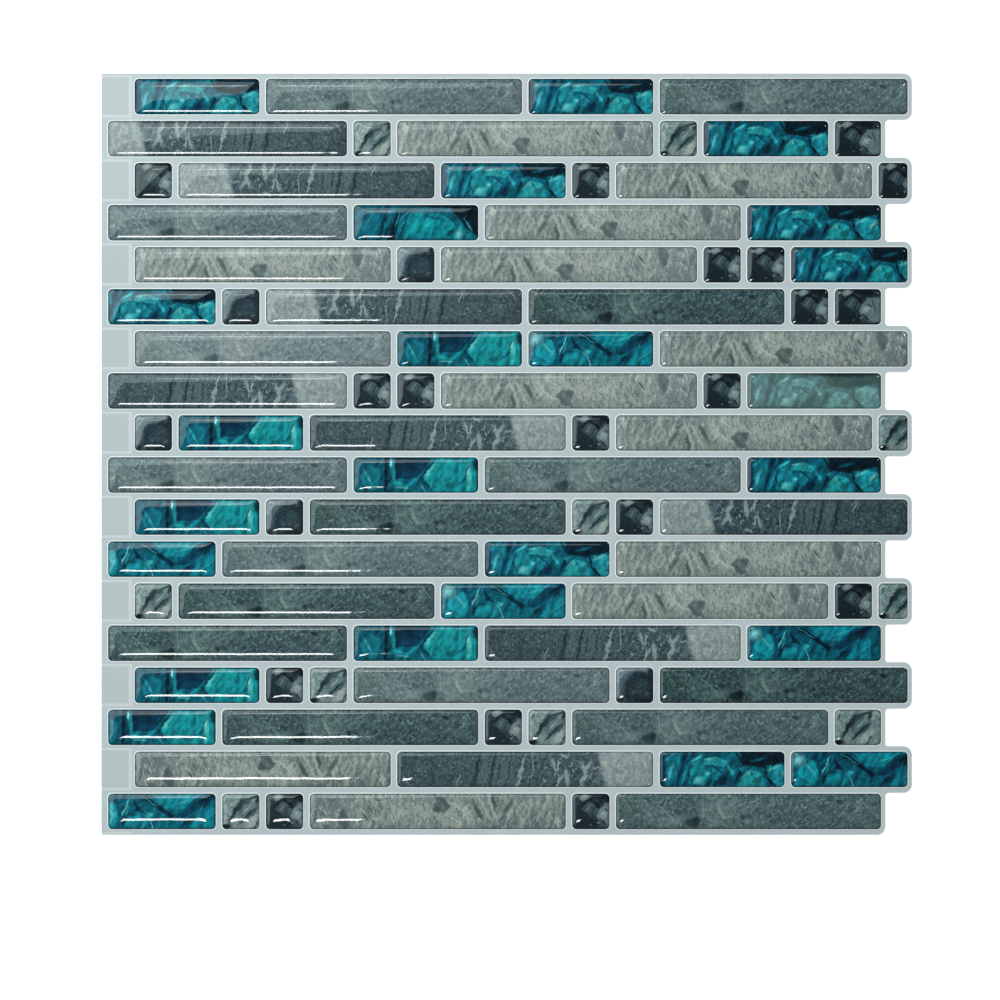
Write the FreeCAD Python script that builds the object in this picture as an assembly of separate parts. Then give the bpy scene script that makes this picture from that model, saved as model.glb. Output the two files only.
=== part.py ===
# Peel and stick mosaic backsplash sheet.
#
# A die-cut vinyl film carries eighteen rows of clear resin gels, each poured and cured
# by itself on its printed picture: long stone bars, short teal glass bars and small
# marble squares. A paper release liner of the same outline covers the adhesive.
# Odd rows run out past the right-hand edge as tabs. Their left ends leave a bare square of
# film, and the tabs of the next sheet lie on those squares.
#
# The sheet lies face up. X runs along the rows towards the tabs, Y up to the first row,
# Z out of the wall. The origin is in the middle of the underside. Sizes in millimetres.
import FreeCAD
import Part

import math
import os

# Layers, from the back of the sheet to its face
LINER_THICKNESS = 0.13      # silicone-coated paper
FILM_THICKNESS = 0.40       # printed vinyl with its coat of adhesive
GEL_HEIGHT = 1.40           # crown of a gel above the film

# The grid that every row shares
ROW_PITCH = 15.82
ROW_LENGTH = 290.8          # from the first gel of a row to the end of the last
JOINT = 2.40                # bare film between two gels
END_CUT = 3.08              # what the last gel of an odd row lacks of its whole cells
STAGGER = 10.0              # how far an odd row is pushed out past an even row

# Edges of the film
LEFT_MARGIN = 2.5           # from the left edge to the first gel of an even row
RIGHT_BORDER = 1.5          # from the last gel of a row to the cut edge
ROW_BORDER = 2.0            # above and below the gels, at the sheet's edges and the tabs
TAB_RADIUS = 3.2            # outer corners of the tabs
NOTCH_RADIUS = 1.2          # inner corners between them

# Shape of a gel, as surface tension leaves it
GEL_RADIUS = 1.6            # corners of its outline
SHOULDER_WIDTH = 3.6        # from the outline up to the level crown
CAPILLARY_LENGTH = 1.8      # how quickly the shoulder levels out
CONTOURS = 3                # steps of height between the outline and the crown

# One letter is one gel. The rows are listed from the top of the sheet.
CELLS = {"S": 6, "T": 3, "M": 1}
FAMILY = {"S": "stone_bars", "T": "teal_bars", "M": "marble_squares"}
ROWS = (
    "TSTS", "SMSMTM", "MSTMSM", "STST", "SMSMMT", "TMSSMM",
    "STTS", "SMMSMT", "MTSMSM", "STST", "TMSMMS", "TSTS",
    "MSTSMM", "STST", "TMMSMS", "TSMMSM", "SSTT", "TMMSMS",
)

# What follows from them. One cell is a square gel and its joint.
CELLS_PER_ROW = sum(CELLS[letter] for letter in ROWS[0])
COLUMN_PITCH = (ROW_LENGTH + END_CUT + JOINT) / CELLS_PER_ROW
GEL_DEPTH = ROW_PITCH - JOINT
SHEET_WIDTH = LEFT_MARGIN + STAGGER + ROW_LENGTH + RIGHT_BORDER
SHEET_DEPTH = len(ROWS) * ROW_PITCH - JOINT + 2 * ROW_BORDER
LEFT = -SHEET_WIDTH / 2
TOP = SHEET_DEPTH / 2
FILM_BOTTOM = LINER_THICKNESS
GEL_BOTTOM = FILM_BOTTOM + FILM_THICKNESS


def is_odd(row):
    """Rows count from 1 at the top. The odd ones have the tabs."""
    return row % 2 == 1


def row_centre(row):
    return TOP - ROW_BORDER - GEL_DEPTH / 2 - (row - 1) * ROW_PITCH


def row_start(row):
    return LEFT + LEFT_MARGIN + (STAGGER if is_odd(row) else 0.0)


def row_end(row):
    return row_start(row) + ROW_LENGTH


def grid_line(cell):
    """Left side of a cell's gel. Cell 0 is where the odd rows begin."""
    return row_start(1) + cell * COLUMN_PITCH


def gel_spans(row):
    """(letter, left, right) of each gel of a row. The joints keep to the grid, so the first and
    the last gel are cut short or drawn out to end with their row."""
    letters = ROWS[row - 1]
    cell = 0 if is_odd(row) else -1
    spans = []
    for place, letter in enumerate(letters):
        left = grid_line(cell)
        cell += CELLS[letter]
        right = grid_line(cell) - JOINT
        if place == 0:
            left = row_start(row)
        if place == len(letters) - 1:
            right = row_end(row)
        spans.append((letter, left, right))
    return spans


def rounded_outline(corners, height):
    """Closed wire at a height through (x, y, radius) corners, each rounded by its own arc."""
    points = [FreeCAD.Vector(x, y, height) for x, y, _ in corners]
    arcs = []
    ends = []
    for i, corner in enumerate(points):
        radius = corners[i][2]
        back = (points[i - 1] - corner).normalize()
        ahead = (points[(i + 1) % len(points)] - corner).normalize()
        half_angle = back.getAngle(ahead) / 2
        start = corner + back * (radius / math.tan(half_angle))
        end = corner + ahead * (radius / math.tan(half_angle))
        inward = (back + ahead).normalize()
        middle = corner + inward * (radius / math.sin(half_angle) - radius)
        arcs.append(Part.Arc(start, middle, end).toShape() if radius > 0 else None)
        ends.append((start, end))
    edges = []
    for i, arc in enumerate(arcs):
        if arc:
            edges.append(arc)
        edges.append(Part.LineSegment(ends[i][1], ends[(i + 1) % len(ends)][0]).toShape())
    return Part.Wire(edges)


def sheet_corners():
    """Outline of the film and the liner: square on the left, with tabs and notches on the
    right. A tab reaches ROW_BORDER above and below its gels."""
    half_tab = GEL_DEPTH / 2 + ROW_BORDER
    tip = row_end(1) + RIGHT_BORDER
    root = row_end(2) + RIGHT_BORDER
    corners = [(LEFT, -TOP, 0.0), (LEFT, TOP, 0.0)]
    for row in range(1, len(ROWS) + 1):
        if not is_odd(row):
            continue
        above = row_centre(row) + half_tab
        below = row_centre(row) - half_tab
        if row > 1:
            corners.append((root, above, NOTCH_RADIUS))
        corners.append((tip, above, TAB_RADIUS))
        corners.append((tip, below, TAB_RADIUS))
        if row < len(ROWS):
            corners.append((root, below, NOTCH_RADIUS))
    if not is_odd(len(ROWS)):
        corners.append((root, -TOP, TAB_RADIUS))
    return corners


def die_cut_layer(bottom, thickness):
    """One layer of the sheet, cut to the outline."""
    face = Part.Face(rounded_outline(sheet_corners(), bottom))
    return face.extrude(FreeCAD.Vector(0, 0, thickness))


def cured_gel(width):
    """One gel on the film, about the origin: a ruled loft through nested rounded rectangles.
    The shoulder rises by 1 - exp(-inset / CAPILLARY_LENGTH) and ends at the level crown."""
    rise = 1 - math.exp(-SHOULDER_WIDTH / CAPILLARY_LENGTH)
    contours = []
    for step in range(CONTOURS + 1):
        share = step / CONTOURS
        inset = -CAPILLARY_LENGTH * math.log(1 - share * rise)
        x = width / 2 - inset
        y = GEL_DEPTH / 2 - inset
        corners = [(sx * x, sy * y, GEL_RADIUS) for sx, sy in ((-1, -1), (1, -1), (1, 1), (-1, 1))]
        contours.append(rounded_outline(corners, GEL_BOTTOM + GEL_HEIGHT * share))
    return Part.makeLoft(contours, True, True)


def row_gels(row):
    """The gels of one row, by letter."""
    found = {}
    for letter, left, right in gel_spans(row):
        gel = cured_gel(right - left)
        gel.translate(FreeCAD.Vector((left + right) / 2, row_centre(row), 0))
        found.setdefault(letter, []).append(gel)
    return found


def save(shape, node):
    shape.exportStep(os.path.join("parts", node + ".step"))


def main():
    os.makedirs("parts", exist_ok=True)
    save(die_cut_layer(0.0, LINER_THICKNESS), "release_liner")
    save(die_cut_layer(FILM_BOTTOM, FILM_THICKNESS), "vinyl_film")
    for row in range(1, len(ROWS) + 1):
        for letter, gels in row_gels(row).items():
            save(Part.makeCompound(gels), f"row_{row:02d}_{FAMILY[letter]}")


main()
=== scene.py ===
import math

import bpy
import numpy as np
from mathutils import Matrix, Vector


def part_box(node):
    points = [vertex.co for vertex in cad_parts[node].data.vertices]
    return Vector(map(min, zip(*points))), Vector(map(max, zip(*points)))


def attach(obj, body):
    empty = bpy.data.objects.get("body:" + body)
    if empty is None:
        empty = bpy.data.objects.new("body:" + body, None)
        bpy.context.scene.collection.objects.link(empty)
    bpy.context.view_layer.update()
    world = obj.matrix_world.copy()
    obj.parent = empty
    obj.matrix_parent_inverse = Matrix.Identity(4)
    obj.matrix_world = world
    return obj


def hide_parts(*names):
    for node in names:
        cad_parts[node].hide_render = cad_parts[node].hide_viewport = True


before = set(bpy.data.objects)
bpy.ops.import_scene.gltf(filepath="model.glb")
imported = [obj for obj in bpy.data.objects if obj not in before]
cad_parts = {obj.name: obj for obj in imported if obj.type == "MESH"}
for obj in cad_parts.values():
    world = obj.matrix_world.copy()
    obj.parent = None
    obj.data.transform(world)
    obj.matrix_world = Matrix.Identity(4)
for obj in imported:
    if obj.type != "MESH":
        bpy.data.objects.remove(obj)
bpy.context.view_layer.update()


# Release liner.
# Bleached kraft paper with a thin coat of silicone, die-cut together with the film. It
# covers the adhesive until the sheet is used, so only its rim and the back show it.
MM = 0.001
PAPER = "#E6E2D7"
PAPER_SHADE = "#CFC9BA"
PULP_FLECK = "#B7AF9C"
PULP_SIZE = 14.0            # across a cloud of denser pulp
FIBRE = (0.8, 7.0)          # width and length of a bundle of fibres
FIBRE_RELIEF = 0.02
FLECK_SIZE = 2.2


def linear(hex_colour):
    """An sRGB hex colour as linear RGBA."""
    parts = [int(hex_colour[i:i + 2], 16) / 255 for i in (1, 3, 5)]
    return tuple(c / 12.92 if c <= 0.04045 else ((c + 0.055) / 1.055) ** 2.4 for c in parts) + (1.0,)


def add(tree, kind, inputs=None, **settings):
    """Add a node with its settings. Each input takes a value or a link from another socket."""
    made = tree.nodes.new(kind)
    for name, value in settings.items():
        setattr(made, name, value)
    for socket, value in (inputs or {}).items():
        if isinstance(value, bpy.types.NodeSocket):
            tree.links.new(value, made.inputs[socket])
        else:
            made.inputs[socket].default_value = value
    return made


def mix(tree, factor, under, over):
    """Lay one colour over another by a factor. Sockets 6, 7 and 2 of the node are colours."""
    return add(tree, "ShaderNodeMix", {"Factor": factor, 6: under, 7: over}, data_type="RGBA").outputs[2]


def scaled(tree, vector, factor):
    """A place or a colour times one number."""
    return add(tree, "ShaderNodeVectorMath", {0: vector, "Scale": factor}, operation="SCALE").outputs[0]


def fade(tree, value, start, end, low=0.0, high=1.0, curve="LINEAR"):
    """Carry a value that runs from start to end over to low to high, and hold it beyond them."""
    made = add(tree, "ShaderNodeMapRange", {"Value": value, "From Min": start, "From Max": end,
                                            "To Min": low, "To Max": high}, interpolation_type=curve)
    return made.outputs[0]


def cloud(tree, place, size, detail, roughness=0.5):
    """Noise from 0 to 1 with patches about one size across."""
    made = add(tree, "ShaderNodeTexNoise", {"Vector": place, "Scale": 1 / size, "Detail": detail,
                                            "Roughness": roughness})
    return made.outputs["Fac"]


def stretched(tree, place, size, turn=0.0, centre=(0.0, 0.0)):
    """A place counted from a centre in lengths of size (x, y), along axes turned by degrees."""
    made = add(tree, "ShaderNodeMapping", {"Vector": place, "Location": (*centre, 0),
                                           "Rotation": (0, 0, math.radians(turn)), "Scale": (*size, 1)},
               vector_type="TEXTURE")
    return made.outputs[0]


def new_finish(name, roughness, ior):
    """A material with one principled shader. Returns the material, its tree and the shader."""
    material = bpy.data.materials.new(name)
    material.use_nodes = True
    tree = material.node_tree
    shader = tree.nodes["Principled BSDF"]
    shader.inputs["Roughness"].default_value = roughness
    shader.inputs["IOR"].default_value = ior
    return material, tree, shader


def give(node_name, material):
    """Put a material on every face of a node that keeps its own shape."""
    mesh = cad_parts[node_name].data
    mesh.materials.clear()
    mesh.materials.append(material)


# Siliconed kraft paper: clouds of denser pulp, fibres that lie along the length of the roll, a
# few dark flecks, and an even sheen.
liner_paper, tree, shader = new_finish("siliconed_kraft_paper", 0.42, 1.45)
place = add(tree, "ShaderNodeTexCoord").outputs["Object"]
in_mm = scaled(tree, place, 1 / MM)
pulp = fade(tree, cloud(tree, in_mm, PULP_SIZE, 6.0, 0.7), 0.35, 0.65)
colour = mix(tree, pulp, linear(PAPER_SHADE), linear(PAPER))
fibres = cloud(tree, stretched(tree, in_mm, FIBRE), 1.0, 5.0, 0.7)
colour = mix(tree, fade(tree, fibres, 0.50, 0.80), colour, linear(PAPER_SHADE))
flecks = fade(tree, cloud(tree, in_mm, FLECK_SIZE, 2.0), 0.70, 0.76)
colour = mix(tree, flecks, colour, linear(PULP_FLECK))
tree.links.new(colour, shader.inputs["Base Color"])
bump = add(tree, "ShaderNodeBump", {"Height": fibres, "Distance": FIBRE_RELIEF * MM, "Strength": 0.6})
tree.links.new(bump.outputs["Normal"], shader.inputs["Normal"])
give("release_liner", liner_paper)


# Vinyl film.
# Soft PVC about 0.4 mm thick with its adhesive, printed a cool grey that passes for grout
# and laminated with a smooth clear coat. Bare squares at the left ends of the odd rows take
# the tabs of the next sheet, and a paler line is printed round them.
ROW_PITCH = 15.82
COLUMN_PITCH = 16.46
JOINT = 2.40
ROW_LENGTH = 290.8
LEFT_MARGIN = 2.5
STAGGER = 10.0
ROW_BORDER = 2.0
GROUT = "#B9C8CB"
GROUT_SHADE = "#ABBABC"
BARE_SQUARE = "#B2BEBF"
BARE_LINE = "#C3CED0"
LINE_BLUR = 0.25
LINE_ABOVE = 1.2            # how far the paler line reaches round a bare square
LINE_BELOW = 1.0
LINE_BESIDE = 1.3
SQUARE_LIFT = 0.3           # how far a bare square reaches above the gels of its row
GROUT_CLOUD = 9.0
PEEL_SIZE = 1.4
PEEL_RELIEF = 0.01

film_low, film_high = (np.array(corner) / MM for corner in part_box("vinyl_film"))
FILM_LEFT = film_low[0]
FILM_TOP = film_high[1]
FACE = film_high[2]
GEL_DEPTH = ROW_PITCH - JOINT


def row_centre(row):
    """Y of a row's middle line in millimetres. Rows count from 1 at the top."""
    return FILM_TOP - ROW_BORDER - GEL_DEPTH / 2 - (row - 1) * ROW_PITCH


def row_start(row):
    """X where a row's first gel begins."""
    return FILM_LEFT + LEFT_MARGIN + (STAGGER if row % 2 else 0.0)


def multiply(tree, first, second):
    """The product of two values."""
    return add(tree, "ShaderNodeMath", {0: first, 1: second}, operation="MULTIPLY").outputs[0]


def band(tree, value, low, high, blur):
    """1 where a value lies between low and high, falling to 0 over the blur outside them."""
    return multiply(tree, fade(tree, value, low - blur, low), fade(tree, value, high + blur, high))


# Printed and laminated soft PVC: near flat grey, a slight orange peel in the coat.
film_vinyl, tree, shader = new_finish("printed_pvc_film", 0.12, 1.22)
place = add(tree, "ShaderNodeTexCoord").outputs["Object"]
in_mm = scaled(tree, place, 1 / MM)
axes = add(tree, "ShaderNodeSeparateXYZ", {0: in_mm})
base = mix(tree, cloud(tree, in_mm, GROUT_CLOUD, 3.0), linear(GROUT_SHADE), linear(GROUT))
from_first = add(tree, "ShaderNodeMath", {0: row_centre(1) + ROW_PITCH, 1: axes.outputs["Y"]},
                 operation="SUBTRACT").outputs[0]
in_pair = add(tree, "ShaderNodeMath", {0: from_first, 1: 2 * ROW_PITCH}, operation="MODULO").outputs[0]
square_top = ROW_PITCH - GEL_DEPTH / 2
square_bottom = ROW_PITCH + GEL_DEPTH / 2
square_right = row_start(1) - JOINT
beyond_left = FILM_LEFT - STAGGER
in_row = band(tree, in_pair, square_top - LINE_ABOVE, square_bottom + LINE_BELOW, LINE_BLUR)
in_end = band(tree, axes.outputs["X"], beyond_left, square_right + LINE_BESIDE, LINE_BLUR)
base = mix(tree, multiply(tree, in_row, in_end), base, linear(BARE_LINE))
in_row = band(tree, in_pair, square_top - SQUARE_LIFT, square_bottom, LINE_BLUR)
in_end = band(tree, axes.outputs["X"], beyond_left, square_right, LINE_BLUR)
base = mix(tree, multiply(tree, in_row, in_end), base, linear(BARE_SQUARE))
tree.links.new(base, shader.inputs["Base Color"])
peel = cloud(tree, in_mm, PEEL_SIZE, 2.0)
bump = add(tree, "ShaderNodeBump", {"Height": peel, "Distance": PEEL_RELIEF * MM, "Strength": 0.5})
tree.links.new(bump.outputs["Normal"], shader.inputs["Normal"])
give("vinyl_film", film_vinyl)


# Clear gels, all kinds.
# Two-part polyurethane resin poured on each printed picture. It flows out to the edge of the
# print, wets a little of the film as a foot and cures as a glossy dome. The foot is painted
# pale as the halo of light round each gel, and the print under the resin carries painted shade
# at its edge and towards the right.
GEL_HEIGHT = 1.40
GEL_RADIUS = 1.6
CAPILLARY_LENGTH = 1.8
FOOT = 0.36
FOOT_HEIGHT = 0.06
FOOT_PROFILE = ((-FOOT, 0.0), (-FOOT, 0.012), (-FOOT / 2, 0.02), (-0.08, 0.04))    # inset, height
FOOT_BLUR = 0.06
CROWN_HALF_WIDTH = 0.35
DOME_RINGS = 22
RING_CROWDING = 1.6         # above 1, the rings crowd towards the outline, where the dome is steep
CORNER_GROWTH = 0.45        # how much rounder the corners grow for each millimetre of inset
CORNER_STEPS = 9
CELLS = {"A": 6, "B": 6, "C": 6, "D": 6, "T": 3, "M": 1}
# One word is one gel: its print, then "<" if the print is turned half round, or "+" if it is
# printed lighter than its kind. C is the picture of B, printed dark.
ROWS = (
    "T1 B T1 B", "D M2 A M2 T1 M1", "M1 D T1 M1 A M1", "B T4 A T1", "A M3 A M1 M1 T1",
    "T1 M3 D C M1 M1", "B+ T2 T3 A", "D< M1 M1 A M1 T5", "M3 T2 D< M1 A M2", "B T2 B T1",
    "T2 M3 C M2 M1 D", "T3 B T1 A", "M2 C T3 A M1 M2", "C T2 D< T3", "T2 M1 M2 B M3 C",
    "T2 C M1 M2 C+ M2", "A< D< T1 T3", "T3 M2 M1 A< M1 C+",
)
# Exponents of the prints that are lighter or darker than usual. A colour at the pivot stays.
TONE = {"A<": 1.22, "B+": 0.74, "C": 1.46, "C+": 1.10}
TONE_PIVOT = 0.55
# Painted shade: prints grow deeper from the middle towards the right, where the light falls off.
PAINTED_SHADE_BY_X = 0.0016
SKIN_ROUGHNESS = 0.045
FOOT_ROUGHNESS = 0.40
# Painted light: the foot is painted pale as the halo of light round each gel.
FOOT_HALO_COLOUR = "#E3ECEC"
# Painted shade: the print darkens over RIM_WIDTH towards each gel's outline, where the steep resin looks
# dark.
RIM_WIDTH = 0.8
RIM_SHADE = 0.42
MOTTLE_SIZE = 1.7
SKIN_WAVE = 8.0
SKIN_RELIEF = 0.07


def rows_with(family):
    """The rows that hold a gel of a family of letters."""
    return [row for row in range(1, len(ROWS) + 1) if set(family) & set(ROWS[row - 1])]


def gel_spans(row):
    """(word, left, right, grid left) of each gel of a row, in millimetres. Joints keep to the
    grid, and the first and last gels end with their row."""
    words = ROWS[row - 1].split()
    cell = 0 if row % 2 else -1
    spans = []
    for i, word in enumerate(words):
        grid_left = row_start(1) + cell * COLUMN_PITCH
        cell += CELLS[word[0]]
        left = row_start(row) if i == 0 else grid_left
        right = row_start(1) + cell * COLUMN_PITCH - JOINT
        if i == len(words) - 1:
            right = row_start(row) + ROW_LENGTH
        spans.append((word, left, right, grid_left))
    return spans


def dome_height(inset, reach):
    """Height of the resin at a distance in from its outline. It rises by 1 - exp(-inset / a),
    a being the capillary length, less a straight line that levels it at the middle."""
    slope = math.exp(-reach / CAPILLARY_LENGTH)

    def rise(d):
        return 1 - np.exp(-d / CAPILLARY_LENGTH) - d / CAPILLARY_LENGTH * slope

    return FOOT_HEIGHT + (GEL_HEIGHT - FOOT_HEIGHT) * rise(inset) / rise(reach)


def gel_surface(left, right, middle):
    """One closed gel. Nested rounded rectangles run inwards from the edge of the foot: each is
    the outline moved in by an inset, its corners growing rounder, and lifted as FOOT_PROFILE
    says outside the outline and by dome_height inside it. The second parameter runs once
    round each. Returns points, quads, caps and insets."""
    half_width = (right - left) / 2
    half_short = min(half_width, GEL_DEPTH / 2)
    reach = half_short - CROWN_HALF_WIDTH
    share = np.linspace(0, 1, DOME_RINGS) ** RING_CROWDING
    foot_insets, foot_heights = np.transpose(FOOT_PROFILE)
    insets = np.concatenate([foot_insets, share * reach])
    heights = np.concatenate([foot_heights, dome_height(share * reach, reach)])
    radius = np.where(insets < 0, GEL_RADIUS - insets,
                      np.minimum(GEL_RADIUS + CORNER_GROWTH * insets, half_short - insets))
    quarter = np.linspace(0, math.pi / 2, CORNER_STEPS)
    angle = np.concatenate([quarter + k * math.pi / 2 for k in range(4)])
    side_x = np.repeat([1, -1, -1, 1], CORNER_STEPS)
    side_y = np.repeat([1, 1, -1, -1], CORNER_STEPS)
    x = side_x * (half_width - insets - radius)[:, None] + radius[:, None] * np.cos(angle)
    y = side_y * (GEL_DEPTH / 2 - insets - radius)[:, None] + radius[:, None] * np.sin(angle)
    z = np.broadcast_to(heights[:, None], x.shape)
    points = np.stack([x + (left + right) / 2, y + middle, z + FACE], axis=-1).reshape(-1, 3)
    rings, around = x.shape
    lower = np.arange((rings - 1) * around).reshape(rings - 1, around)
    ahead = np.roll(lower, -1, axis=1)
    quads = np.stack([lower, ahead, ahead + around, lower + around], axis=-1).reshape(-1, 4)
    caps = [np.arange(around)[::-1], np.arange(around) + (rings - 1) * around]
    return points, quads, caps, np.repeat(insets, around)


def gel_piece(name, row, family, finishes):
    """All gels of one family in one row as one mesh. The attribute print_mm holds the place in
    the print and the distance from the outline. A second attribute holds the strength of the
    print with painted shade in it: prints are made deeper from the middle towards the right
    and its tabs, where the light falls off."""
    points, faces, slots, print_mm, tones_and_shade = [], [], [], [], []
    count = 0
    for word, left, right, grid_left in gel_spans(row):
        if word[0] not in family:
            continue
        gel_points, quads, caps, insets = gel_surface(left, right, row_centre(row))
        place = gel_points[:, :2] - [grid_left, row_centre(row) - GEL_DEPTH / 2]
        if "<" in word:
            place = [CELLS[word[0]] * COLUMN_PITCH - JOINT, GEL_DEPTH] - place
        slot = list(finishes).index(word.rstrip("<+").replace("C", "B"))
        faces += (quads + count).tolist() + [(cap + count).tolist() for cap in caps]
        slots += [slot] * (len(quads) + len(caps))
        points.append(gel_points)
        print_mm.append(np.column_stack([place, insets]))
        # Painted shade: deeper from the middle towards the right, where the light falls off.
        tone_and_shade = TONE.get(word, 1.0) * (1 + PAINTED_SHADE_BY_X * max(0, left + right) / 2)
        tones_and_shade.append(np.full(len(gel_points), tone_and_shade))
        count += len(gel_points)
    mesh = bpy.data.meshes.new(name)
    mesh.from_pydata((np.concatenate(points) * MM).tolist(), [], faces)
    prints = mesh.attributes.new("print_mm", "FLOAT_VECTOR", "POINT")
    prints.data.foreach_set("vector", np.concatenate(print_mm).ravel())
    tone_and_shade_layer = mesh.attributes.new("tone_and_shade", "FLOAT", "POINT")
    tone_and_shade_layer.data.foreach_set("value", np.concatenate(tones_and_shade))
    mesh.polygons.foreach_set("material_index", slots)
    mesh.polygons.foreach_set("use_smooth", [True] * len(mesh.polygons))
    for material in finishes.values():
        mesh.materials.append(material)
    mesh.update()
    piece = bpy.data.objects.new(name, mesh)
    bpy.context.scene.collection.objects.link(piece)
    return piece


def start_print(name, warp_mm, warp_size):
    """A new gel finish: clear glossy resin over a print. Returns the material, its tree and the
    place in the print in millimetres, shifted a little by noise, which gives painted marks
    their torn edges."""
    material, tree, _ = new_finish(name, SKIN_ROUGHNESS, 1.5)
    data = add(tree, "ShaderNodeAttribute", attribute_name="print_mm").outputs["Vector"]
    place = add(tree, "ShaderNodeVectorMath", {0: data, 1: (1, 1, 0)}, operation="MULTIPLY").outputs[0]
    noise = add(tree, "ShaderNodeTexNoise", {"Vector": place, "Scale": 1 / warp_size, "Detail": 5.0,
                                             "Roughness": 0.65}).outputs["Color"]
    shift = add(tree, "ShaderNodeVectorMath", {0: noise, 1: (0.5, 0.5, 0.5)},
                operation="SUBTRACT").outputs[0]
    torn = add(tree, "ShaderNodeVectorMath", {0: shift, 1: (4 * warp_mm, 4 * warp_mm, 0), 2: place},
               operation="MULTIPLY_ADD").outputs[0]
    return material, tree, torn


def finish_print(tree, colour, mottle):
    """Close a gel finish: mottle the print, raise it to the exponent held in its attribute, which
    darkens it, adds contrast and holds painted shade from the middle towards the right, add
    painted shade where the resin runs out at its edge, lay the duller foot over it, painted pale
    as a halo of light round the gel, and let the cured skin be slightly uneven."""
    data = add(tree, "ShaderNodeAttribute", attribute_name="print_mm").outputs["Vector"]
    inset = add(tree, "ShaderNodeSeparateXYZ", {0: data}).outputs["Z"]
    # Its exponent holds the print's own strength and the painted shade towards the right.
    tone_and_shade = add(tree, "ShaderNodeAttribute", attribute_name="tone_and_shade").outputs["Fac"]
    toned_and_shaded = add(tree, "ShaderNodeGamma", {"Color": scaled(tree, colour, 1 / TONE_PIVOT), "Gamma": tone_and_shade})
    # Painted shade along the edge of the resin, where its steep sides look dark.
    rim = fade(tree, inset, 0.0, RIM_WIDTH, RIM_SHADE, 1.0, "SMOOTHSTEP")
    patches = fade(tree, cloud(tree, data, MOTTLE_SIZE, 5.0, 0.6), 0.3, 0.7,
                   TONE_PIVOT * (1 - mottle), TONE_PIVOT * (1 + mottle))
    inked_and_shaded = scaled(tree, toned_and_shaded.outputs[0], multiply(tree, rim, patches))
    # Painted light: the pale foot stands in for the halo of light round the gel.
    base = mix(tree, fade(tree, inset, FOOT_BLUR, -FOOT_BLUR), inked_and_shaded, linear(FOOT_HALO_COLOUR))
    shader = tree.nodes["Principled BSDF"]
    tree.links.new(base, shader.inputs["Base Color"])
    gloss = fade(tree, inset, 0.08, 0.0, SKIN_ROUGHNESS, FOOT_ROUGHNESS)
    tree.links.new(gloss, shader.inputs["Roughness"])
    where = add(tree, "ShaderNodeTexCoord").outputs["Object"]
    waves = cloud(tree, where, SKIN_WAVE * MM, 1.0)
    bump = add(tree, "ShaderNodeBump", {"Height": waves, "Distance": SKIN_RELIEF * MM, "Strength": 1.0})
    tree.links.new(bump.outputs["Normal"], shader.inputs["Normal"])


def dot(tree, place, direction):
    """How far a place lies along a direction."""
    made = add(tree, "ShaderNodeVectorMath", {0: place, 1: direction}, operation="DOT_PRODUCT")
    return made.outputs["Value"]


def blot(tree, under, place, colour, centre, size, turn=0.0, blur=0.35, strength=1.0, diamond=False):
    """Lay one soft blot on a print: an ellipse of half-lengths size, or a diamond, about a
    centre in millimetres, turned by degrees, that fades out over the blur."""
    local = stretched(tree, place, size, turn, centre)
    if diamond:
        local = add(tree, "ShaderNodeVectorMath", {0: local}, operation="ABSOLUTE").outputs[0]
        reach = dot(tree, local, (1, 1, 0))
    else:
        reach = add(tree, "ShaderNodeVectorMath", {0: local}, operation="LENGTH").outputs["Value"]
    cover = fade(tree, reach, 1 - blur, 1 + blur, strength, 0.0, "SMOOTHSTEP")
    return mix(tree, cover, under, linear(colour))


def stroke(tree, under, place, colour, start, end, width, blur=0.5, strength=0.9):
    """Lay one brush stroke from a point to another, in millimetres: a long thin blot."""
    middle = ((start[0] + end[0]) / 2, (start[1] + end[1]) / 2)
    length = math.dist(start, end)
    turn = math.degrees(math.atan2(end[1] - start[1], end[0] - start[0]))
    size = (length / 2 + width / 2, width / 2)
    return blot(tree, under, place, colour, middle, size, turn, blur, strength)


def facet(tree, under, place, colour, corners, strength=1.0, edge=0.5):
    """Lay one facet: the convex shape inside all sides of its anticlockwise corners, in
    millimetres, each side fading in over the width of the edge."""
    cover = strength
    for start, end in zip(corners, corners[1:] + corners[:1]):
        length = math.dist(start, end)
        inward = ((start[1] - end[1]) / length, (end[0] - start[0]) / length, 0)
        beyond = inward[0] * start[0] + inward[1] * start[1]
        side = fade(tree, dot(tree, place, inward), beyond, beyond + edge)
        cover = multiply(tree, cover, side)
    return mix(tree, cover, under, linear(colour))


def paint(tree, colour, place, marks):
    """Lay marks in order. A mark is (colour, centre, size, turn, blur, strength) for a blot,
    (colour, start, end, width) for a stroke or (colour, corners, strength) for a facet."""
    for tint, *shape in marks:
        if len(shape) == 2:
            colour = facet(tree, colour, place, tint, *shape)
        elif len(shape) == 3:
            colour = stroke(tree, colour, place, tint, *shape)
        else:
            colour = blot(tree, colour, place, tint, *shape)
    return colour


def grain(tree, place, width, length, turn, detail=6.0, roughness=0.7, low=0.35, high=0.65):
    """Streaky noise from 0 to 1. A streak is about width by length millimetres, and runs at a
    number of degrees from the X axis."""
    local = stretched(tree, place, (length, width), turn)
    return fade(tree, cloud(tree, local, 1.0, detail, roughness), low, high)


# Stone bars.
# Long gels over three stone pictures: a pale streaked slate, a mid grey one that is also
# printed dark, and a split one that goes from pale to dark with torn white veins.
stone_finishes = {}

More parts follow.
